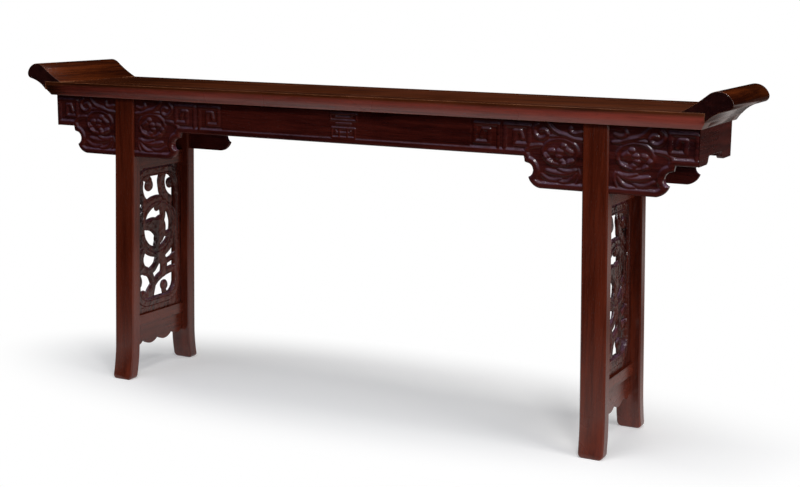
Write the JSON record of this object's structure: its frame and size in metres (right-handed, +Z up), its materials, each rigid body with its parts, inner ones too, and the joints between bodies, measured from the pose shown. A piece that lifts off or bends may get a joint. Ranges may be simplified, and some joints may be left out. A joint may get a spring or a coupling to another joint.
{
  "type": "recessed-leg altar table",
  "caption": "Long recessed-leg side table with upturned end flanges, winged spandrels and pierced panels between the legs at each end.",
  "frame": {"origin": "on the floor at the middle of the table", "axes": "+X along the length to the right end, +Y to the back, +Z up"},
  "size_m": [2.0496, 0.334, 0.9005],
  "materials": {
    "top_wood": "polished dark hardwood, long grain",
    "leg_wood": "polished dark hardwood, upright grain",
    "carved_wood": "glossy carved dark hardwood",
    "secondary_wood": "plain planed hardwood"
  },
  "bodies": {
    "root": {"top_panel": "top_wood", "front_top_rail": "top_wood", "rear_top_rail": "top_wood", "left_flange_end": "top_wood", "right_flange_end": "top_wood", "front_left_spandrel": "carved_wood", "front_left_leg": "leg_wood", "front_right_spandrel": "carved_wood", "front_right_leg": "leg_wood", "front_middle_apron": "carved_wood", "rear_left_spandrel": "carved_wood", "rear_left_leg": "leg_wood", "rear_right_spandrel": "carved_wood", "rear_right_leg": "leg_wood", "rear_middle_apron": "carved_wood", "left_end_apron": "carved_wood", "left_upper_rail": "leg_wood", "left_stretcher": "leg_wood", "left_openwork_panel": "carved_wood", "left_scalloped_apron": "leg_wood", "right_end_apron": "carved_wood", "right_upper_rail": "leg_wood", "right_stretcher": "leg_wood", "right_openwork_panel": "carved_wood", "right_scalloped_apron": "leg_wood", "batten_1": "secondary_wood", "batten_2": "secondary_wood", "batten_3": "secondary_wood", "batten_4": "secondary_wood"}
  },
  "joints": []
}
